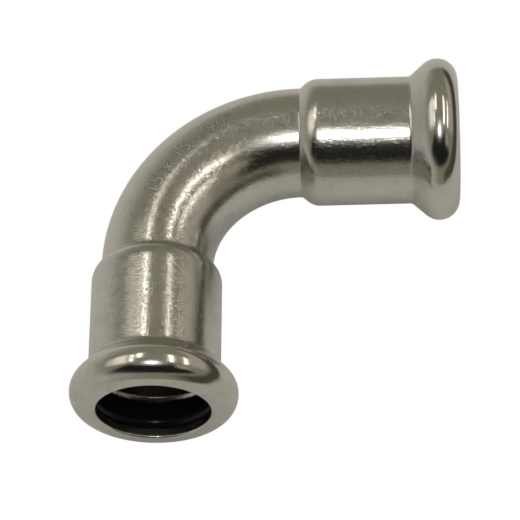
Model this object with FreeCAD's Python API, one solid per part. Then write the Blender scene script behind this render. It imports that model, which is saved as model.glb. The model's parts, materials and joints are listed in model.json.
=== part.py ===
"""Ninety degree press elbow for thin-walled pipe, with its two seal rings.

The body is one stainless tube.  It is bent in the middle, and each end is expanded into a socket:
a conical shoulder that stops the pipe, a straight bore, a flare, a rounded bead that holds the seal,
and a lip that turns in at the mouth.  A seal ring lies in the chamber under each bead.

Lengths are in millimetres, angles in degrees.  The bend lies in the XY plane.  Socket A opens along +X
and socket B along -Y.  The model is drawn about the crossing of the two socket axes, and is then moved
so that the origin is on the axis of socket A, at the inner end of its straight bore.
"""
import FreeCAD
import Part
import math
import os

# Driving sizes
PIPE_DIAMETER = 15.0         # outside of the pipe that goes into each socket
SOCKET_CLEARANCE = 0.15      # radial gap from the pipe to the socket's bore
WALL = 1.5                   # wall of the formed tube
SHOULDER_STEP = 1.3          # how far each socket is expanded beyond the bent tube, on the radius
SHOULDER_ANGLE = 40.0        # slope of the shoulder's cone
SHOULDER_INNER_RADIUS = 1.4  # inside radius where the shoulder turns into the bore
BEND_RADIUS = 20.4           # from the bend's centre to the tube's centre line
SOCKET_DEPTH = 20.0          # from the mouth's face to the inner end of the straight bore
SEAL_SECTION = 2.5           # thickness of the seal ring, out from its hole
SEAL_HEEL_RADIUS = 0.35      # rounding of the heel that the seal ring reaches back with
SEAL_PIPE_CLEARANCE = 0.1    # radial gap from the pipe to the seal ring, before pressing
SEAL_SEAT_CLEARANCE = 0.02   # radial gap from the seal ring to the crown of its chamber
SEAL_SIDE_CLEARANCE = 0.15   # gap from the seal ring to the lip's back and from its heel to the flare
FLARE_ANGLE = 41.0           # slope of the flare that leads into the bead
LIP_CLEARANCE = 0.35         # radial gap from the pipe to the lip at the mouth
LIP_EDGE_RADIUS = 0.4        # rounding of the lip's outer edge

# Radii from the socket's axis
pipe_r = PIPE_DIAMETER / 2
bore_r = pipe_r + SOCKET_CLEARANCE
socket_r = bore_r + WALL
tube_r = socket_r - SHOULDER_STEP
tube_bore_r = tube_r - WALL
lip_r = pipe_r + LIP_CLEARANCE
seal_inner_r = pipe_r + SEAL_PIPE_CLEARANCE
seal_centre_r = seal_inner_r + SEAL_SECTION / 2
seal_heel_r = seal_inner_r + SEAL_HEEL_RADIUS

# The chamber and the bead are two arcs about one centre, a wall apart
chamber_arc_r = SEAL_SECTION / 2 + SEAL_SIDE_CLEARANCE
bead_arc_r = chamber_arc_r + WALL
bead_centre_r = seal_centre_r + SEAL_SECTION / 2 + SEAL_SEAT_CLEARANCE - chamber_arc_r

# Distances along the socket's axis, from the crossing of the two axes
shoulder = math.radians(SHOULDER_ANGLE)
shoulder_outer_radius = SHOULDER_INNER_RADIUS + WALL
shoulder_round_rise = shoulder_outer_radius * (1 - math.cos(shoulder))
shoulder_cone_length = (SHOULDER_STEP - shoulder_round_rise) / math.tan(shoulder)
crease_s = BEND_RADIUS
stop_s = crease_s + shoulder_cone_length + shoulder_outer_radius * math.sin(shoulder)
face_s = stop_s + SOCKET_DEPTH
bead_s = face_s - bead_arc_r

X_AXIS = FreeCAD.Vector(1, 0, 0)
Z_AXIS = FreeCAD.Vector(0, 0, 1)
CROSSING = FreeCAD.Vector(0, 0, 0)
QUARTER_TURN = 90.0
FULL_TURN = 360.0


def point(s, r):
    """A point of the section: s along the socket's axis, r out from it."""
    return FreeCAD.Vector(s, 0, r)


def line(start, end):
    return Part.makeLine(point(*start), point(*end))


def on_arc(centre, radius, angle):
    """The point at an angle in degrees, counted from the mouth's side towards the outside."""
    turn = math.radians(angle)
    return (centre[0] + radius * math.cos(turn), centre[1] + radius * math.sin(turn))


def arc(centre, radius, start_angle, end_angle):
    middle_angle = (start_angle + end_angle) / 2
    ends = [on_arc(centre, radius, angle) for angle in (start_angle, middle_angle, end_angle)]
    return Part.Arc(*[point(*end) for end in ends]).toShape()


def cone_foot(tangent_point, slope, r):
    """Where a cone that leaves a bead at its tangent point comes down to radius r."""
    return (tangent_point[0] - (tangent_point[1] - r) / math.tan(math.radians(slope)), r)


def shoulder_skin(wall_r, arc_r):
    """The shoulder's round and the top of its cone, for the outer or the inner skin."""
    centre = (stop_s, wall_r - arc_r)
    cone_top = on_arc(centre, arc_r, QUARTER_TURN + SHOULDER_ANGLE)
    round_edge = arc(centre, arc_r, QUARTER_TURN + SHOULDER_ANGLE, QUARTER_TURN)
    return cone_top, round_edge


def bead_skin(wall_r, arc_r):
    """The foot and the top of the flare, and the arc over to the face, for either skin."""
    centre = (bead_s, bead_centre_r)
    flare_top = on_arc(centre, arc_r, QUARTER_TURN + FLARE_ANGLE)
    flare_foot = cone_foot(flare_top, FLARE_ANGLE, wall_r)
    return flare_foot, flare_top, arc(centre, arc_r, QUARTER_TURN + FLARE_ANGLE, 0)


def socket_section():
    """The closed section of one socket's wall, from the crease to the mouth."""
    outer_cone_top, outer_shoulder = shoulder_skin(socket_r, shoulder_outer_radius)
    inner_cone_top, inner_shoulder = shoulder_skin(bore_r, SHOULDER_INNER_RADIUS)
    outer_cone_foot = cone_foot(outer_cone_top, SHOULDER_ANGLE, tube_r)
    inner_cone_foot = cone_foot(inner_cone_top, SHOULDER_ANGLE, tube_bore_r)
    outer_foot, outer_top, bead = bead_skin(socket_r, bead_arc_r)
    inner_foot, inner_top, chamber = bead_skin(bore_r, chamber_arc_r)
    lip_back = face_s - WALL
    lip_edge_centre = (face_s - LIP_EDGE_RADIUS, lip_r + LIP_EDGE_RADIUS)
    edges = [
        line(outer_cone_foot, outer_cone_top),
        outer_shoulder,
        line((stop_s, socket_r), outer_foot),
        line(outer_foot, outer_top),
        bead,
        line((face_s, bead_centre_r), (face_s, lip_edge_centre[1])),
        arc(lip_edge_centre, LIP_EDGE_RADIUS, 0, -QUARTER_TURN),
        line((lip_edge_centre[0], lip_r), (lip_back, lip_r)),
        line((lip_back, lip_r), (lip_back, bead_centre_r)),
        chamber,
        line(inner_top, inner_foot),
        line(inner_foot, (stop_s, bore_r)),
        inner_shoulder,
        line(inner_cone_top, inner_cone_foot),
        line(inner_cone_foot, (crease_s, tube_bore_r)),
        line((crease_s, tube_bore_r), outer_cone_foot),
    ]
    return Part.Face(Part.Wire(edges))


def make_socket():
    """Socket A, about the X axis."""
    return socket_section().revolve(CROSSING, X_AXIS, FULL_TURN)


def make_bend():
    """The bent tube, from socket A's crease round to socket B's."""
    start = FreeCAD.Vector(crease_s, 0, 0)
    outside = Part.Face(Part.Wire(Part.makeCircle(tube_r, start, X_AXIS)))
    inside = Part.Face(Part.Wire(Part.makeCircle(tube_bore_r, start, X_AXIS)))
    bend_centre = FreeCAD.Vector(crease_s, -BEND_RADIUS, 0)
    return outside.cut(inside).revolve(bend_centre, Z_AXIS, QUARTER_TURN)


def make_seal():
    """Socket A's seal ring: a round crown in the chamber, and a heel that reaches back under the flare."""
    flare = math.radians(FLARE_ANGLE)
    flare_foot, _, _ = bead_skin(bore_r, chamber_arc_r)
    off_flare = SEAL_HEEL_RADIUS + SEAL_SIDE_CLEARANCE
    heel_s = flare_foot[0] + (off_flare + (seal_heel_r - bore_r) * math.cos(flare)) / math.sin(flare)
    crown = (bead_s, seal_centre_r)
    heel = (heel_s, seal_heel_r)
    tilt = math.degrees(math.atan2(crown[1] - heel[1], crown[0] - heel[0]))
    back = QUARTER_TURN + 2 * tilt
    edges = [
        arc(crown, SEAL_SECTION / 2, -QUARTER_TURN, back),
        line(on_arc(crown, SEAL_SECTION / 2, back), on_arc(heel, SEAL_HEEL_RADIUS, back)),
        arc(heel, SEAL_HEEL_RADIUS, back, FULL_TURN - QUARTER_TURN),
        line((heel_s, seal_inner_r), (bead_s, seal_inner_r)),
    ]
    return Part.Face(Part.Wire(edges)).revolve(CROSSING, X_AXIS, FULL_TURN)


def at_socket_b(shape):
    """A copy of one of socket A's shapes, turned to socket B, which opens along -Y."""
    turned = shape.copy()
    turned.rotate(CROSSING, Z_AXIS, -QUARTER_TURN)
    return turned


def make_body():
    """Both sockets and the bend, as the one formed tube that they are."""
    socket = make_socket()
    return make_bend().multiFuse([socket, at_socket_b(socket)]).removeSplitter()


def write_part(node, shape):
    """Move a shape to the origin at socket A's stop, and write its one solid."""
    placed = shape.Solids[0].copy()
    placed.translate(FreeCAD.Vector(-stop_s, 0, 0))
    placed.exportStep(os.path.join("parts", node + ".step"))
    box = placed.BoundBox
    print(f"{node}: {len(shape.Solids)} solid, {placed.Volume:.1f} mm3, "
          f"{box.XLength:.2f} x {box.YLength:.2f} x {box.ZLength:.2f} mm, valid {placed.isValid()}")


os.makedirs("parts", exist_ok=True)
seal = make_seal()
write_part("elbow_body", make_body())
write_part("seal_ring_a", seal)
write_part("seal_ring_b", at_socket_b(seal))
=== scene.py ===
import json
import math
import bmesh
import bpy
from mathutils import Matrix, Vector


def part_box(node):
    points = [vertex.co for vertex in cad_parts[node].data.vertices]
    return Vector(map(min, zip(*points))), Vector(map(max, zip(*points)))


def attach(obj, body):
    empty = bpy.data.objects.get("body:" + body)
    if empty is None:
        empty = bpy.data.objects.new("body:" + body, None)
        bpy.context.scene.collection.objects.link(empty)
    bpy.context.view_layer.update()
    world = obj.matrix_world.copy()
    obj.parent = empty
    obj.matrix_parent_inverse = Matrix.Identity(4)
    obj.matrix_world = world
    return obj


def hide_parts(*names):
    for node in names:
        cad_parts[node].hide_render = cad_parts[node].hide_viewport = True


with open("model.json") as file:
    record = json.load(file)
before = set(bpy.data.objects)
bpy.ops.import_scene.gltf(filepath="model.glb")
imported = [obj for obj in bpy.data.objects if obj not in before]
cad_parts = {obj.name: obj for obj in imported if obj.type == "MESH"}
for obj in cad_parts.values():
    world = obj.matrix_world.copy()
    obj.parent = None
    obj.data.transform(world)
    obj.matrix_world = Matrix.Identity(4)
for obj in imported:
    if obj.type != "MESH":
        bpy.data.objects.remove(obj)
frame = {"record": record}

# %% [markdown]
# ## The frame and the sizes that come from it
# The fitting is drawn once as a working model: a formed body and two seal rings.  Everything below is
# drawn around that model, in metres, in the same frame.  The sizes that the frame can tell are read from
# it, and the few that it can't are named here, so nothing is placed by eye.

MM = 0.001
WALL = 1.5 * MM                   # wall of the formed tube
SHOULDER_STEP = 1.3 * MM          # how far a socket stands out from the bent tube
SHOULDER_SLOPE = math.radians(40)
SHOULDER_INNER_RADIUS = 1.4 * MM  # inside radius where the shoulder turns into the bore
FLARE_SLOPE = math.radians(41)
SEAL_THICKNESS = 2.5 * MM         # of the seal ring, out from its hole
SEAL_HEEL_RADIUS = 0.35 * MM      # rounding of the heel that reaches back under the flare
SEAL_SIDE_GAP = 0.15 * MM         # from the seal ring to its chamber, along the axis
LIP_STEP = 0.2 * MM               # how much wider than the bore the lip's opening is, on the radius
HALF_BEND_ANGLE = math.pi / 4     # from the middle of the bend to either end
MIDDLE_HEADING = 3 * math.pi / 4  # the way from the bend's centre to the bend's middle, from the x axis
print(f"wall {WALL / MM:.2f} mm, sockets {SHOULDER_STEP / MM:.2f} mm out from the bent tube")

# %% Sizes from the frame
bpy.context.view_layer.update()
body_low, body_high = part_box("elbow_body")
seal_low, seal_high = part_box("seal_ring_a")
mounts = {mount["name"]: mount for mount in frame["record"]["mounts"]}

crossing_x = mounts["socket_b"]["pos_m"][0]    # the two socket axes cross here, on y = 0
stop_s = -crossing_x                           # from the crossing to the inner end of the bore
face_s = body_high[0] - crossing_x             # from the crossing to the mouth's face
bore_r = mounts["socket_a"]["dims"]["r_mm"] * MM
socket_r = bore_r + WALL
tube_r = socket_r - SHOULDER_STEP
tube_bore_r = tube_r - WALL
lip_r = bore_r + LIP_STEP
seal_outer_r = seal_high[2]
seal_inner_r = seal_outer_r - SEAL_THICKNESS
seal_heel_s = seal_low[0] - crossing_x + SEAL_HEEL_RADIUS
seal_front_s = seal_high[0] - crossing_x
chamber_arc_r = SEAL_THICKNESS / 2 + SEAL_SIDE_GAP
bead_arc_r = chamber_arc_r + WALL
bead_centre = (face_s - bead_arc_r, body_high[2] - bead_arc_r)
print(f"bore {2 * bore_r / MM:.2f}, bead {2 * body_high[2] / MM:.2f} mm across")

# %% The shoulder's length, and where the bend ends
shoulder_outer_radius = SHOULDER_INNER_RADIUS + WALL
round_rise = shoulder_outer_radius * (1 - math.cos(SHOULDER_SLOPE))
shoulder_length = ((SHOULDER_STEP - round_rise) / math.tan(SHOULDER_SLOPE)
                   + shoulder_outer_radius * math.sin(SHOULDER_SLOPE))
crease_s = stop_s - shoulder_length
bend_r = crease_s                              # the bend runs straight into the shoulder's crease
print(f"centre to face {face_s / MM:.2f}, crease {crease_s / MM:.2f}, tube radius {tube_r / MM:.2f} mm")

# %% [markdown]
# ## Writing node trees as sums
# Trees for shapes and for finishes get long when every node is placed by hand.  A small class wraps a
# socket and gives it Python's operators, so `1 - mask * 0.5` adds its Math nodes by itself.  Every node
# comes from one method, which sets the node's own settings first and then feeds its sockets.

# %% A socket that works in sums
class Value:
    """An output socket that can be used in sums."""

    def __init__(self, graph, socket):
        self.graph = graph
        self.socket = socket

    def math(self, operation, *others):
        feeds = dict(enumerate((self,) + others))
        return self.graph.add("ShaderNodeMath", {"operation": operation}, feeds)

    def between(self, low, high, out_low=0.0, out_high=1.0):
        """A smooth step: out_low below low, out_high above high."""
        feeds = {0: self, 1: low, 2: high, 3: out_low, 4: out_high}
        return self.graph.add("ShaderNodeMapRange", {"interpolation_type": "SMOOTHSTEP"}, feeds)

    def __add__(self, other):
        return self.math("ADD", other)

    def __sub__(self, other):
        return self.math("SUBTRACT", other)

    def __rsub__(self, other):
        return -self + other

    def __mul__(self, other):
        return self.math("MULTIPLY", other)

    def __truediv__(self, other):
        return self.math("DIVIDE", other)

    def __neg__(self):
        return self.math("MULTIPLY", -1.0)

    __radd__ = __add__
    __rmul__ = __mul__


# %% The node writer
class Graph:
    """Adds nodes to one tree."""

    def __init__(self, tree):
        self.tree = tree

    def feed(self, socket, value):
        if isinstance(value, Value):
            self.tree.links.new(value.socket, socket)
        else:
            socket.default_value = value

    def node(self, kind, settings=None, feeds=None):
        """A node of any kind: its settings first, then its sockets, which go by name or number."""
        node = self.tree.nodes.new(kind)
        for name, value in (settings or {}).items():
            setattr(node, name, value)
        for key, value in (feeds or {}).items():
            self.feed(node.inputs[key], value)
        return node

    def add(self, kind, settings=None, feeds=None, output=0):
        """The same, for what one of the node's outputs gives."""
        return Value(self, self.node(kind, settings, feeds).outputs[output])

    def vector(self, operation, *values):
        """A Vector Math node."""
        return self.add("ShaderNodeVectorMath", {"operation": operation}, dict(enumerate(values)))

    def xyz(self, x, y, z):
        return self.add("ShaderNodeCombineXYZ", None, {0: x, 1: y, 2: z})

    def mix(self, factor, first, second):
        """A colour between two colours, which a Mix node takes at 6 and 7 and gives at output 2."""
        feeds = {0: factor, 6: self.colour(first), 7: self.colour(second)}
        return self.add("ShaderNodeMix", {"data_type": "RGBA"}, feeds, output=2)

    def colour(self, value):
        return value if isinstance(value, Value) else (*value, 1.0)

    def bump(self, height):
        """The normal of a relief that is given in metres."""
        return self.add("ShaderNodeBump", None, {"Height": height, "Distance": 1.0})

    def parts(self, vector):
        """The three numbers of a vector."""
        node = self.node("ShaderNodeSeparateXYZ", None, {0: vector})
        return [Value(self, output) for output in node.outputs]


# %% [markdown]
# ## The section of the formed tube
# Cut the fitting along its axis and the wall shows as one ribbon: bent tube, conical shoulder that stops the
# pipe, straight bore, flare, rounded bead and turned-in lip.  A die leaves a radius at every corner, so the
# ribbon is written as corners with radii, and each corner becomes an arc.  Even the big bead is only the
# corner between the flare and the flat face, rounded by the chamber's radius plus the wall.  The points
# could be typed in one by one, but then a new pipe size would mean typing them all again.

# %% Outlines from corners with radii
ARC_STEP = math.radians(7.5)      # about the turn between two points of an arc
RUN_STEP = 0.45 * MM              # the most between two points of a straight run


def rounded(corners):
    """A closed outline through corners (s, r, radius), with an arc at each."""
    outline = []
    for k, (s, r, radius) in enumerate(corners):
        here = Vector((s, r))
        to_before = (Vector(corners[k - 1][:2]) - here).normalized()
        to_after = (Vector(corners[(k + 1) % len(corners)][:2]) - here).normalized()
        half = to_before.angle(to_after) / 2
        centre = here + (to_before + to_after).normalized() * radius / math.sin(half)
        arm = here + to_before * radius / math.tan(half) - centre
        turn = arm.angle_signed(here + to_after * radius / math.tan(half) - centre)
        steps = max(2, round(abs(turn) / ARC_STEP))
        outline += [centre + Matrix.Rotation(-turn * i / steps, 2) @ arm for i in range(steps + 1)]
    return outline


def filled(outline):
    """The same closed outline with points along its straight runs."""
    full = []
    for k, start in enumerate(outline):
        run = outline[(k + 1) % len(outline)] - start
        steps = max(1, math.ceil(run.length / RUN_STEP))
        full += [start + run * i / steps for i in range(steps)]
    return full


def along_slope(point, slope, s=None, r=None):
    """The point of a straight slope through a point, at a given s or at a given r."""
    if r is None:
        return (s, point[1] + (s - point[0]) * math.tan(slope))
    return (point[0] + (r - point[1]) / math.tan(slope), r)


def on_arc(centre, radius, angle):
    """The point of an arc where its outside slopes at an angle to the axis."""
    return (centre[0] - radius * math.sin(angle), centre[1] + radius * math.cos(angle))


print(f"arcs in steps of {math.degrees(ARC_STEP):.1f} degrees, runs in steps of {RUN_STEP / MM:.2f} mm")

# %% [markdown]
# ## One end, twice
# Both sockets are made by the same die, so one end is written and the other is its mirror image in s, the
# distance along the tube's bent axis.  A Mirror modifier would give two halves that meet in a seam across
# the bend.  The tube's crease is pressed sharp, and so it gets a small radius.

# %% The corners of one end
CREASE_RADIUS = 0.35 * MM
FLARE_ROOT_RADIUS = 0.7 * MM
LIP_EDGE_RADIUS = 0.4 * MM
LIP_INNER_RADIUS = 0.15 * MM
half_bend = bend_r * HALF_BEND_ANGLE           # from the middle of the bend to the crease, along the axis


def skin(wall_r, tube_wall_r, shoulder_round, bead_round, face):
    """One skin of an end's wall: crease, shoulder, flare foot and bead, as corners from the bend out."""
    cone = on_arc((stop_s, wall_r - shoulder_round), shoulder_round, SHOULDER_SLOPE)
    flare = on_arc(bead_centre, bead_round, FLARE_SLOPE)
    return [
        (*along_slope(cone, SHOULDER_SLOPE, r=tube_wall_r), CREASE_RADIUS),
        (*along_slope(cone, SHOULDER_SLOPE, r=wall_r), shoulder_round),
        (*along_slope(flare, FLARE_SLOPE, r=wall_r), FLARE_ROOT_RADIUS),
        (*along_slope(flare, FLARE_SLOPE, s=face), bead_round),
    ]


outer = skin(socket_r, tube_r, shoulder_outer_radius, bead_arc_r, face_s)
inner = skin(bore_r, tube_bore_r, SHOULDER_INNER_RADIUS, chamber_arc_r, face_s - WALL)
lip = [(face_s, lip_r, LIP_EDGE_RADIUS), (face_s - WALL, lip_r, LIP_INNER_RADIUS)]
one_end = [(s - crease_s + half_bend, r, radius) for s, r, radius in outer + lip + inner[::-1]]
other_end = [(-s, r, radius) for s, r, radius in one_end[::-1]]
body_section = filled(rounded(one_end + other_end))
print(f"body section: {len(body_section)} points")

# %% [markdown]
# ## A sweep that follows the bent axis
# The whole fitting follows one rule: a section that runs along the axis is turned once round it, and the
# axis itself is straight, bent, straight.  Geometry Nodes can write that rule directly.  A flat grid is
# rolled up: its columns are the section's points and its rows are steps round the axis.  Clamping the
# distance along the axis to the bend gives the angle, and what is left over is the straight run beyond it,
# so bend and sockets need no seam between them, as two spun sockets and a bent tube would.  Points that
# fall on each other, where the grid meets itself, are merged at the end.

# %% The sweep's tree
MERGE_DISTANCE = 0.002 * MM       # points nearer than this become one


def input_socket(tree, name, kind):
    return tree.interface.new_socket(name=name, in_out="INPUT", socket_type=kind).identifier


def make_sweep_tree():
    """Turns a section, drawn as points (s, r), round an axis that bends through a quarter turn."""
    tree = bpy.data.node_groups.new("sweep round the bent axis", "GeometryNodeTree")
    names = {"Section": "NodeSocketGeometry", "Points": "NodeSocketInt", "Around": "NodeSocketInt",
             "Bend radius": "NodeSocketFloat", "Bend centre": "NodeSocketVector",
             "Finish": "NodeSocketMaterial"}
    sockets = {name: input_socket(tree, name, kind) for name, kind in names.items()}
    tree.interface.new_socket(name="Piece", in_out="OUTPUT", socket_type="NodeSocketGeometry")
    graph = Graph(tree)
    given = graph.node("NodeGroupInput")
    section, points, around, radius, centre, finish = (Value(graph, given.outputs[name]) for name in names)

    grid = graph.add("GeometryNodeMeshGrid", None, {
        "Size X": points, "Size Y": around, "Vertices X": points + 1, "Vertices Y": around + 1})
    place = graph.add("GeometryNodeInputPosition")
    column, row, _ = graph.parts(place)
    index = (column + points / 2).math("ROUND").math("MODULO", points)
    turn = (0.5 - row / around) * math.tau
    point = graph.add("GeometryNodeSampleIndex", {"data_type": "FLOAT_VECTOR", "domain": "POINT"},
                      {"Geometry": section, "Value": place, "Index": index})
    s, r, _ = graph.parts(point)

    bend = (s / radius).math("MAXIMUM", -HALF_BEND_ANGLE).math("MINIMUM", HALF_BEND_ANGLE)
    beyond = s - bend * radius
    heading = MIDDLE_HEADING - bend
    cosine, sine = heading.math("COSINE"), heading.math("SINE")
    out = radius + r * turn.math("COSINE")
    moved = graph.xyz(cosine * out + sine * beyond, sine * out - cosine * beyond, r * turn.math("SINE"))
    swept = graph.add("GeometryNodeSetPosition", None, {
        "Geometry": grid, "Position": graph.vector("ADD", centre, moved)})
    closed = graph.add("GeometryNodeMergeByDistance", None, {
        "Geometry": swept, "Distance": MERGE_DISTANCE})
    smooth = graph.add("GeometryNodeSetShadeSmooth", None, {"Geometry": closed})
    real = graph.add("GeometryNodeRealizeInstances", None, {"Geometry": smooth})
    done = graph.add("GeometryNodeSetMaterial", None, {"Geometry": real, "Material": finish})
    graph.node("NodeGroupOutput", None, {0: done})
    return tree, sockets


sweep_tree, sweep_sockets = make_sweep_tree()
print(f"sweep tree: {len(sweep_tree.nodes)} nodes, {len(sweep_sockets)} inputs")

# %% Making a piece with the tree
bend_centre = Vector((crossing_x + bend_r, -bend_r, 0))
print(f"bend centre {bend_centre.x / MM:.2f}, {bend_centre.y / MM:.2f} mm")


def new_object(name, data):
    """An object at the origin, unturned, which leaves a piece's place to its mesh."""
    made = bpy.data.objects.new(name, data)
    bpy.context.scene.collection.objects.link(made)
    return made


def sweep(name, section, around, finish):
    """A piece made by the sweep tree, as a plain mesh."""
    mesh = bpy.data.meshes.new(name + "_section")
    mesh.from_pydata([(s, r, 0) for s, r in section], [], [])
    maker = new_object(name + "_maker", mesh)
    modifier = maker.modifiers.new("sweep", "NODES")
    modifier.node_group = sweep_tree
    values = {"Points": len(section), "Around": around, "Bend radius": bend_r,
              "Bend centre": bend_centre, "Finish": finish}
    for key, value in values.items():
        modifier[sweep_sockets[key]] = value
    evaluated = maker.evaluated_get(bpy.context.evaluated_depsgraph_get())
    result = bpy.data.meshes.new_from_object(evaluated)
    result.name = name
    bpy.data.objects.remove(maker)
    bpy.data.meshes.remove(mesh)
    piece = new_object(name, result)
    print(f"{name}: {len(result.vertices)} points, {len(result.polygons)} faces")
    return piece


# %% [markdown]
# ## Stainless steel
# The tube is drawn, bent and pickled, so its skin is warm grey and nearly a mirror, with a fine grain that
# sparkles beside each highlight.  Where the die has rolled the metal, on the beads, the grain is ironed
# out, and where the tube was sawn, on the lips, it is coarse.  A picture of steel would need a map that
# fits the bend, so the grain, the slow waviness that bends the reflections and the cloudy stains are all
# noise that fills space.  One material then covers bend, sockets and beads without a seam.

# %% Helpers for finishes
def new_finish(name):
    """A material, its graph and its main shader."""
    material = bpy.data.materials.new(name)
    material.use_nodes = True
    return material, Graph(material.node_tree), material.node_tree.nodes["Principled BSDF"]


def noise(graph, spot, size, detail=2.0, roughness=0.5):
    """Soft random relief, with lumps of about the given size."""
    feeds = {"Vector": spot, "Scale": 1 / size, "Detail": detail, "Roughness": roughness}
    return graph.add("ShaderNodeTexNoise", None, feeds)


def object_place(graph):
    """The point on the piece that is being shaded."""
    return graph.add("ShaderNodeTexCoord", output="Object")


# %% Where the die and the saw have been
FLARE_RUN = 2.9 * MM              # how far behind the bead's middle the die has reached
FLARE_BLEND = 1.0 * MM            # over which the grain fades out
SAWN_WIDTH = 0.45 * MM            # of the sawn edge, out from the lip's opening
SAWN_FULL_WIDTH = 0.2 * MM        # the part of it that is sawn all over
SAWN_DEPTH = 2.0 * MM             # of the sawn edge, back from the mouth's face
SAWN_FULL_DEPTH = 1.8 * MM
stainless, steel_graph, steel = new_finish("stainless")
steel_place = object_place(steel_graph)
steel_x, steel_y, steel_z = steel_graph.parts(steel_place)
from_crossing = steel_x - crossing_x
out_along = from_crossing.math("MAXIMUM", -steel_y)       # along whichever socket the point is in
off_axis = from_crossing.math("ABSOLUTE").math("MINIMUM", steel_y.math("ABSOLUTE"))
from_axis = (off_axis * off_axis + steel_z * steel_z).math("SQRT")
flare_s = face_s - bead_arc_r - FLARE_RUN
rolled = out_along.between(flare_s, flare_s + FLARE_BLEND)
sawn = (from_axis.between(lip_r + SAWN_WIDTH, lip_r + SAWN_FULL_WIDTH)
        * out_along.between(face_s - SAWN_DEPTH, face_s - SAWN_FULL_DEPTH))
print(f"rolled from {flare_s / MM:.2f} mm out, sawn to radius {(lip_r + SAWN_FULL_WIDTH) / MM:.2f} mm")

# %% Relief: grain, pimples, waviness and the sawn edge
GRAIN_SIZE = 0.23 * MM
GRAIN_HEIGHT = 0.012 * MM
PIMPLE_SPACING = 0.29 * MM
PIMPLE_TOP = 0.05                 # radius of a pimple's flat top, in spacings
PIMPLE_FOOT = 0.5                 # and of its foot
PIMPLE_HEIGHT = 0.0105 * MM
WAVE_SIZE = 2.6 * MM
WAVE_HEIGHT = 0.010 * MM
SAWN_SIZE = 0.22 * MM
SAWN_HEIGHT = 0.026 * MM
IRONED = 0.8                      # share of the grain that rolling takes away
grain = noise(steel_graph, steel_place, GRAIN_SIZE, detail=1.0)
pimple_feeds = {"Vector": steel_place, "Scale": 1 / PIMPLE_SPACING}
from_middle = steel_graph.add("ShaderNodeTexVoronoi", None, pimple_feeds)
pimples = from_middle.between(PIMPLE_TOP, PIMPLE_FOOT, out_low=1.0, out_high=0.0)
wave = noise(steel_graph, steel_place, WAVE_SIZE, detail=1.0)
teeth = noise(steel_graph, steel_place, SAWN_SIZE, detail=1.0)
relief = (grain * GRAIN_HEIGHT + pimples * PIMPLE_HEIGHT) * (1 - rolled * IRONED)
relief = relief + wave * WAVE_HEIGHT + sawn * teeth * SAWN_HEIGHT
steel_graph.feed(steel.inputs["Normal"], steel_graph.bump(relief))
print(f"grain {GRAIN_SIZE / MM:.2f} mm wide and {GRAIN_HEIGHT / MM:.3f} mm high")

# %% Colour and roughness
STEEL_COLOUR = (0.62, 0.607, 0.567)
STAINED_COLOUR = (0.525, 0.505, 0.462)
STAIN_SIZE = 5.0 * MM
MOTTLE_SIZE = 1.1 * MM
STAIN_SHARE = 0.6                 # of the cloudiness; the small mottle makes the rest
CLOUD_RANGE = (0.46, 0.70)        # cloudiness at which a stain begins to show, and at which it is full
TUBE_ROUGHNESS = 0.18
BEAD_ROUGHNESS = 0.15
SAWN_ROUGHNESS = 0.19
STAIN_ROUGHNESS = 0.06            # how much the stains vary the roughness
stain = noise(steel_graph, steel_place, STAIN_SIZE, detail=3.0, roughness=0.6)
mottle = noise(steel_graph, steel_place, MOTTLE_SIZE, detail=3.0, roughness=0.6)
cloud = stain * STAIN_SHARE + mottle * (1 - STAIN_SHARE)
steel_colour = steel_graph.mix(cloud.between(*CLOUD_RANGE), STEEL_COLOUR, STAINED_COLOUR)
roughness = rolled * (BEAD_ROUGHNESS - TUBE_ROUGHNESS) + TUBE_ROUGHNESS
roughness = roughness + sawn * (SAWN_ROUGHNESS - BEAD_ROUGHNESS) + (stain - 0.5) * STAIN_ROUGHNESS
steel.inputs["Metallic"].default_value = 1.0
steel_graph.feed(steel.inputs["Base Color"], steel_colour)
steel_graph.feed(steel.inputs["Roughness"], roughness)
print(f"steel: {len(stainless.node_tree.nodes)} nodes")

# %% [markdown]
# ## The formed body
# Bend, sockets and beads are pressed out of one length of tube.  Separate cylinders and a torus would
# leave seams where the real fitting has none, and so the body is a single sweep of its whole section.

# %% The body
BODY_AROUND = 200                 # faces round the tube
body = sweep("elbow_shell", body_section, BODY_AROUND, stainless)
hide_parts("elbow_body")
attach(body, "root")

# %% [markdown]
# ## The seal rings
# Each bead holds a moulded ring of black rubber, which shows through the mouth as a wide glossy band.  Its
# section is a round crown in the chamber and a heel that reaches back under the flare.  A torus would give
# the crown but not the heel.  The section is an outline of corners and radii like the body's, so the same
# sweep makes it.  Moulded rubber is never quite flat black: it has a faint bloom, which changes its colour
# and its shine in clouds, and fine pores.

# %% Rubber
RUBBER_COLOUR = (0.004, 0.005, 0.007)
BLOOM_COLOUR = (0.011, 0.012, 0.015)
RUBBER_SHINE = 0.18               # how strongly it mirrors; bare plastic would be 0.5
RUBBER_ROUGHNESS = 0.15
BLOOM_ROUGHNESS = 0.12
BLOOM_SIZE = 1.6 * MM
PORE_SIZE = 0.12 * MM
PORE_HEIGHT = 0.002 * MM
rubber, rubber_graph, rubber_shader = new_finish("seal rubber")
rubber_place = object_place(rubber_graph)
bloom = noise(rubber_graph, rubber_place, BLOOM_SIZE, detail=3.0)
pores = noise(rubber_graph, rubber_place, PORE_SIZE, detail=1.0)
rubber_colour = rubber_graph.mix(bloom, RUBBER_COLOUR, BLOOM_COLOUR)
rubber_shader.inputs["Specular IOR Level"].default_value = RUBBER_SHINE
rubber_graph.feed(rubber_shader.inputs["Base Color"], rubber_colour)
rubber_graph.feed(rubber_shader.inputs["Roughness"], bloom * BLOOM_ROUGHNESS + RUBBER_ROUGHNESS)
rubber_graph.feed(rubber_shader.inputs["Normal"], rubber_graph.bump(pores * PORE_HEIGHT))
print(f"rubber: {len(rubber.node_tree.nodes)} nodes")

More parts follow.
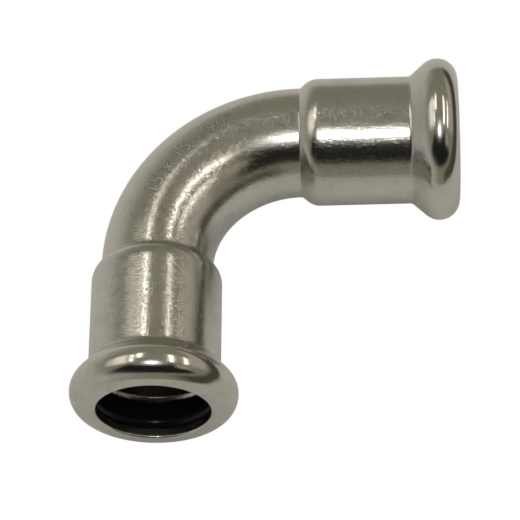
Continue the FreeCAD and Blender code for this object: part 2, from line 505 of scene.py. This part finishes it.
# %% The section of a ring
crown_r = SEAL_THICKNESS / 2
seal_taper = math.atan2(crown_r - SEAL_HEEL_RADIUS, seal_front_s - crown_r - seal_heel_s)
heel_corner_s = seal_heel_s - SEAL_HEEL_RADIUS / math.tan(seal_taper)
# The ring's back is the slope that touches both rounds, so it rises twice as steeply as their centres do.
back_corner_s = heel_corner_s + SEAL_THICKNESS / math.tan(2 * seal_taper)
ring_corners = [
    (back_corner_s, seal_outer_r, crown_r),
    (seal_front_s, seal_outer_r, crown_r),
    (seal_front_s, seal_inner_r, crown_r),
    (heel_corner_s, seal_inner_r, SEAL_HEEL_RADIUS),
]
ring_a = [(s - crease_s + half_bend, r, radius) for s, r, radius in ring_corners]
ring_b = [(-s, r, radius) for s, r, radius in ring_a[::-1]]
print(f"ring: {SEAL_THICKNESS / MM:.2f} mm thick, {(seal_high[0] - seal_low[0]) / MM:.2f} mm wide")

# %% The two rings
RING_AROUND = 160                 # faces round a ring
for ring_name, ring_node, corners in (("seal_skin_a", "seal_ring_a", ring_a),
                                      ("seal_skin_b", "seal_ring_b", ring_b)):
    ring = sweep(ring_name, filled(rounded(corners)), RING_AROUND, rubber)
    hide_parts(ring_node)
    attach(ring, "root")

# %% [markdown]
# ## The size mark
# Such fittings carry a mark burnt into the top of the bend: a frosted line with a brown, heat-darkened edge.
# A plain set of numbers stands for it here, the two pipe sizes and the angle.  A picture of numbers would
# need a map, and text is flat while the bend curves two ways.  So the text becomes a mesh first, is cut
# into small faces, and is then rolled onto the bend point by point.  The same text is made twice, once
# widened for the dark edge and once plain for the frosted line, a few thousandths of a millimetre higher.

# %% Burnt and frosted steel
FROST_SIZE = 0.2 * MM
BURNT_COLOURS = ((0.085, 0.078, 0.065), (0.16, 0.148, 0.125))
BURNT_ROUGHNESS = (0.28, 0.40)
FROSTED_COLOURS = ((0.58, 0.56, 0.515), (0.74, 0.72, 0.67))
FROSTED_ROUGHNESS = (0.34, 0.48)


def mark_finish(name, colours, roughnesses):
    """Steel that the mark has changed, cloudy between two tones and two roughnesses."""
    finish, graph, shader = new_finish(name)
    frost = noise(graph, object_place(graph), FROST_SIZE)
    low_roughness, high_roughness = roughnesses
    shader.inputs["Metallic"].default_value = 1.0
    graph.feed(shader.inputs["Base Color"], graph.mix(frost, *colours))
    graph.feed(shader.inputs["Roughness"], frost * (high_roughness - low_roughness) + low_roughness)
    print(f"{name}: {len(finish.node_tree.nodes)} nodes")
    return finish


burnt = mark_finish("burnt steel", BURNT_COLOURS, BURNT_ROUGHNESS)
frosted = mark_finish("frosted steel", FROSTED_COLOURS, FROSTED_ROUGHNESS)

# %% The numbers, flat
MARK_TEXT = "15 x 15 - 90°"
MARK_SIZE = 2.85 * MM             # of the type, which makes the figures about 2 mm high
MARK_SPACING = 1.12               # from one figure to the next, against the type's own spacing
MARK_CURVES = 4                   # straight pieces to each curve of the type
MARK_CUT = 0.35 * MM              # how far apart the cuts are that let it bend


def flat_text(widened, height):
    """The text as a thin closed sheet in small faces, with its strokes widened and its top at a height."""
    curve = bpy.data.curves.new("mark_type", "FONT")
    curve.body = MARK_TEXT
    curve.size = MARK_SIZE
    curve.space_character = MARK_SPACING
    curve.offset = widened
    curve.extrude = height
    curve.resolution_u = MARK_CURVES
    curve.align_x = "CENTER"
    curve.align_y = "CENTER"
    typed = new_object("mark_typed", curve)
    bpy.context.view_layer.update()
    evaluated = typed.evaluated_get(bpy.context.evaluated_depsgraph_get())
    sheet = bmesh.new()
    sheet.from_mesh(bpy.data.meshes.new_from_object(evaluated))
    bpy.data.objects.remove(typed)
    bmesh.ops.remove_doubles(sheet, verts=sheet.verts, dist=MERGE_DISTANCE)
    for direction in (Vector((1, 0, 0)), Vector((0, 1, 0))):
        cuts = math.ceil(max(abs(point.co.dot(direction)) for point in sheet.verts) / MARK_CUT)
        for k in range(-cuts, cuts + 1):
            every = sheet.verts[:] + sheet.edges[:] + sheet.faces[:]
            plane = direction * k * MARK_CUT
            bmesh.ops.bisect_plane(sheet, geom=every, plane_co=plane, plane_no=direction)
    bmesh.ops.remove_doubles(sheet, verts=sheet.verts, dist=MERGE_DISTANCE)
    bmesh.ops.dissolve_degenerate(sheet, edges=sheet.edges, dist=MERGE_DISTANCE)
    bmesh.ops.recalc_face_normals(sheet, faces=sheet.faces)
    return sheet


# %% The numbers, rolled onto the bend
MARK_BEND = math.radians(-2)      # where the middle of the mark is, from the middle of the bend
MARK_TURN = math.radians(76)      # round the tube, from its outer side towards the top
EDGE_WIDENING = 0.08 * MM         # how far the dark edge stands out past the frosted line
EDGE_HEIGHT = 0.008 * MM
LINE_HEIGHT = 0.014 * MM
mark_r = bend_r + tube_r * math.cos(MARK_TURN)


def on_bend(flat):
    """Where a point of the flat text goes on the bent tube."""
    heading = MIDDLE_HEADING - MARK_BEND - flat.x / mark_r
    turn = MARK_TURN - flat.y / tube_r
    height = tube_r + flat.z
    out = bend_r + height * math.cos(turn)
    return bend_centre + Vector((math.cos(heading) * out, math.sin(heading) * out,
                                 height * math.sin(turn)))


def mark(name, widened, height, finish):
    """One layer of the mark, as a piece that rides with the fitting."""
    sheet = flat_text(widened, height)
    ups = [point.co.y for point in sheet.verts]
    for point in sheet.verts:
        point.co = on_bend(point.co)
    mesh = bpy.data.meshes.new(name)
    sheet.to_mesh(mesh)
    sheet.free()
    mesh.materials.append(finish)
    piece = new_object(name, mesh)
    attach(piece, "root")
    print(f"{name}: {len(mesh.polygons)} faces, figures {(max(ups) - min(ups)) / MM:.2f} mm high")


mark("size_mark_edge", EDGE_WIDENING, EDGE_HEIGHT, burnt)
mark("size_mark", 0.0, LINE_HEIGHT, frosted)

# %% [markdown]
# ## The floor
# The fitting lies on its two beads on a plain pale floor.  Steel mirrors the floor all along its underside
# and on the flat face of a bead, so the floor has to be a real lit surface for the reflections.  To the
# camera it is plain white: a Light Path node picks between the two.  The floor ends a little in front of
# the fitting and to its right, where the steel mirrors the dark part of the room below the floor's edge.

# %% Floor shape
FLOOR_REACH = 3.0                 # how far the floor runs to the left and to the back, in metres
FLOOR_FRONT = -95 * MM            # where it ends in front
FLOOR_RIGHT = 85 * MM             # and on the right
floor_z = body_low[2]
floor_mesh = bpy.data.meshes.new("floor")
floor_corners = [(-FLOOR_REACH, FLOOR_FRONT, floor_z), (FLOOR_RIGHT, FLOOR_FRONT, floor_z),
                 (FLOOR_RIGHT, FLOOR_REACH, floor_z), (-FLOOR_REACH, FLOOR_REACH, floor_z)]
floor_mesh.from_pydata(floor_corners, [], [(0, 1, 2, 3)])
floor = new_object("floor", floor_mesh)
print(f"floor at {floor_z / MM:.2f} mm")

# %% Floor paint
WHITE = (1.0, 1.0, 1.0)
FLOOR_COLOUR = (0.96, 0.96, 0.95)
FLOOR_FRONT_COLOUR = (0.83, 0.83, 0.82)   # the front lies in the shadow of whoever stands there
FLOOR_SHADE = (-70 * MM, 0.0)             # between these two y the shadow ends
FLOOR_ROUGHNESS = 0.9
FLOOR_BOUNCE = 0.045                      # light that the walls throw back onto the floor
floor_paint, floor_graph, floor_shader = new_finish("pale floor")
floor_y = floor_graph.parts(object_place(floor_graph))[1]
floor_colour = floor_graph.mix(floor_y.between(*FLOOR_SHADE), FLOOR_FRONT_COLOUR, FLOOR_COLOUR)
floor_graph.feed(floor_shader.inputs["Base Color"], floor_colour)
floor_shader.inputs["Roughness"].default_value = FLOOR_ROUGHNESS
floor_shader.inputs["Emission Color"].default_value = (*WHITE, 1)
floor_shader.inputs["Emission Strength"].default_value = FLOOR_BOUNCE
floor_seen = floor_graph.add("ShaderNodeLightPath", output="Is Camera Ray")
floor_glow = floor_graph.add("ShaderNodeEmission", None, {"Color": (*WHITE, 1), "Strength": 1.0})
floor_paint_out = floor_paint.node_tree.nodes["Material Output"].inputs["Surface"]
floor_feeds = {0: floor_seen, 1: Value(floor_graph, floor_shader.outputs["BSDF"]), 2: floor_glow}
floor_graph.feed(floor_paint_out, floor_graph.add("ShaderNodeMixShader", None, floor_feeds))
floor_mesh.materials.append(floor_paint)
print(f"floor paint: {len(floor_paint.node_tree.nodes)} nodes")

# %% [markdown]
# ## The room
# Steel this smooth mostly shows the room around it, so the room is half of the finish.  It is written as a
# colour for each direction: warm walls, a ceiling, a window far to the left, the dark shape of the person
# who stands in front, and a pale wall low on the left.  Masks made of smooth steps lay each over the last.
# A picture of a room would do the same, but these few masks stay soft, and they can be moved by hand.

# %% Directions
LEAST_SQUARE = 0.0001             # under the root, so that a direction straight up doesn't divide by zero
LEAST_RISE = 0.05                 # of a direction, so that a level one doesn't either
world = bpy.data.worlds.new("room")
bpy.context.scene.world = world
world.use_nodes = True
room = Graph(world.node_tree)
way = room.add("ShaderNodeTexCoord", output="Generated")
way_x, way_y, way_z = room.parts(way)
sideways = (1 - way_z * way_z).math("MAXIMUM", LEAST_SQUARE).math("SQRT")
to_ceiling = way_z.math("MAXIMUM", LEAST_RISE)
ceiling_x, ceiling_y = way_x / to_ceiling, way_y / to_ceiling     # where it meets a ceiling 1 unit up
print(f"directions: {len(world.node_tree.nodes)} nodes")


def round_patch(x, y, z, wide, narrow):
    """A round patch in a direction, from its edge's angle to its full tone's angle, in degrees."""
    toward = tuple(Vector((x, y, z)).normalized())
    settings = {"operation": "DOT_PRODUCT"}
    nearness = room.add("ShaderNodeVectorMath", settings, {0: way, 1: toward}, output="Value")
    return nearness.between(math.cos(math.radians(wide)), math.cos(math.radians(narrow)))


# %% The tones of the room, laid one over another
wall_colour = (0.255, 0.242, 0.188)
window_rows = ceiling_y.between(-0.35, -0.1) * ceiling_y.between(0.8, 0.6)
person = (way_z.between(0.27, 0.33) * way_z.between(0.88, 0.80)
          * ((-way_y) / sideways).between(0.50, 0.66))
layers = [
    ("ceiling", way_z.between(0.35, 0.95), (0.26, 0.248, 0.20)),
    ("person", person, (0.012, 0.012, 0.010)),
    ("pale wall", way_z.between(0.55, 0.0) * (-way_x).between(0.0, 0.8), (0.50, 0.49, 0.46)),
    ("bright corner", ceiling_x.between(1.2, 1.5) * ceiling_y.between(-0.6, 0.0)
     * way_z.between(0.15, 0.3), (0.45, 0.42, 0.36)),
    ("skirting", way_z.between(0.22, 0.08) * way_x.between(0.1, 0.5), (0.07, 0.062, 0.045)),
    ("curtain", ceiling_x.between(-1.85, -1.5) * ceiling_x.between(-0.95, -1.2) * window_rows,
     (0.7, 0.665, 0.58)),
    ("window", ceiling_x.between(-1.2, -1.0) * ceiling_x.between(-0.55, -0.65) * window_rows,
     (1.15, 1.09, 0.96)),
    ("lamp's glow", round_patch(0.04, -0.31, 0.95, 15, 3), (1.15, 1.13, 1.07)),
    ("warm sleeve", round_patch(0.63, -0.44, 0.64, 11, 4), (0.42, 0.38, 0.30)),
]
tone = wall_colour
for _, mask, colour in layers:
    tone = room.mix(mask, tone, colour)
seen = room.add("ShaderNodeLightPath", output="Is Camera Ray")
tone = room.mix(seen, tone, WHITE)     # the camera sees plain white
room.feed(world.node_tree.nodes["Background"].inputs["Color"], tone)
bpy.context.scene.view_settings.view_transform = "Standard"
print("room:", ", ".join(name for name, _, _ in layers))

# %% [markdown]
# ## The lamps
# Long soft strips on the ceiling draw the long highlights down bend and sockets, and a small bright lamp
# near the camera draws the round one on each bead.  Point lamps would only draw dots.  A strip is given by
# where it crosses a ceiling one unit up, like the window, and its energy follows from its size, so a strip
# can be moved or widened and stays as bright.  None is seen by the camera itself.

# %% Lamps
CEILING_HEIGHT = 1.6              # metres above the fitting
STRIP_COLOUR = (1.0, 0.95, 0.88)
STRIPS = [                        # across, near end, far end, width, radiance
    (-0.47, -0.18, 0.58, 0.065, 2.8),
    (-0.27, 0.2, 0.68, 0.085, 4.2),
    (0.50, -0.18, 0.63, 0.085, 4.8),
    (1.05, -0.2, 0.64, 0.16, 3.0),
]
FLASH_DIRECTION = Vector((0.0, -0.34, 0.94)).normalized()
FLASH_DISTANCE = 0.9              # metres
FLASH_SIZE = 0.09
FLASH_RADIANCE = 24


def lamp(name, spot, size_x, size_y, radiance, colour):
    """A flat lamp that faces down, as bright as asked whatever its size."""
    data = bpy.data.lights.new(name, "AREA")
    data.shape = "RECTANGLE"
    data.size, data.size_y = size_x, size_y
    data.energy = radiance * math.pi * size_x * size_y
    data.color = colour
    lit = new_object(name, data)
    lit.matrix_world = Matrix.Translation(spot)
    lit.visible_camera = False
    return lit


for k, (across, near, far, width, radiance) in enumerate(STRIPS):
    middle = Vector((across, (near + far) / 2, 1)) * CEILING_HEIGHT
    lamp(f"ceiling_strip_{k}", middle, width * CEILING_HEIGHT, (far - near) * CEILING_HEIGHT,
         radiance, STRIP_COLOUR)
flash_place = FLASH_DIRECTION * FLASH_DISTANCE
flash = lamp("flash", flash_place, FLASH_SIZE, FLASH_SIZE, FLASH_RADIANCE, WHITE)
flash_turn = (flash_place - bend_centre).to_track_quat("Z", "Y").to_matrix().to_4x4()
flash.matrix_world = Matrix.Translation(flash_place) @ flash_turn
print(f"lamps: {len(STRIPS)} strips and a flash")

# %% [markdown]
# ## The camera
# A camera is a point to aim at, a direction to look back along, a roll and a distance.  Building its
# matrix from those is clearer than three Euler angles, because each can be changed without the others.
# The view is from in front and well above, close enough for the near bead to look larger.

# %% Camera
VIEW_LENS = 171.37
VIEW_AZIMUTH = math.radians(5.74)
VIEW_ELEVATION = math.radians(59.78)
VIEW_ROLL = math.radians(-6.39)
VIEW_DISTANCE = 348.3 * MM
SENSOR_WIDTH = 36.0
CLIP_START = 10 * MM              # nothing nearer than this is drawn
AIM_X = 14.47 * MM                # from the crossing of the two axes
AIM_Y = -19.37 * MM
aim = Vector((crossing_x + AIM_X, AIM_Y, 0))
camera_data = bpy.data.cameras.new("camera")
camera_data.sensor_width = SENSOR_WIDTH
camera_data.lens = VIEW_LENS
camera_data.clip_start = CLIP_START
camera = new_object("camera", camera_data)
bpy.context.scene.camera = camera
level = math.cos(VIEW_ELEVATION)
back = Vector((level * math.sin(VIEW_AZIMUTH), -level * math.cos(VIEW_AZIMUTH),
               math.sin(VIEW_ELEVATION)))
right = Vector((math.cos(VIEW_AZIMUTH), math.sin(VIEW_AZIMUTH), 0))
stance = Matrix.Rotation(VIEW_ROLL, 3, back) @ Matrix((right, back.cross(right), back)).transposed()
camera.matrix_world = Matrix.Translation(aim + back * VIEW_DISTANCE) @ stance.to_4x4()
print(f"camera {VIEW_DISTANCE / MM:.0f} mm from its aim, lens {VIEW_LENS:.1f} mm")
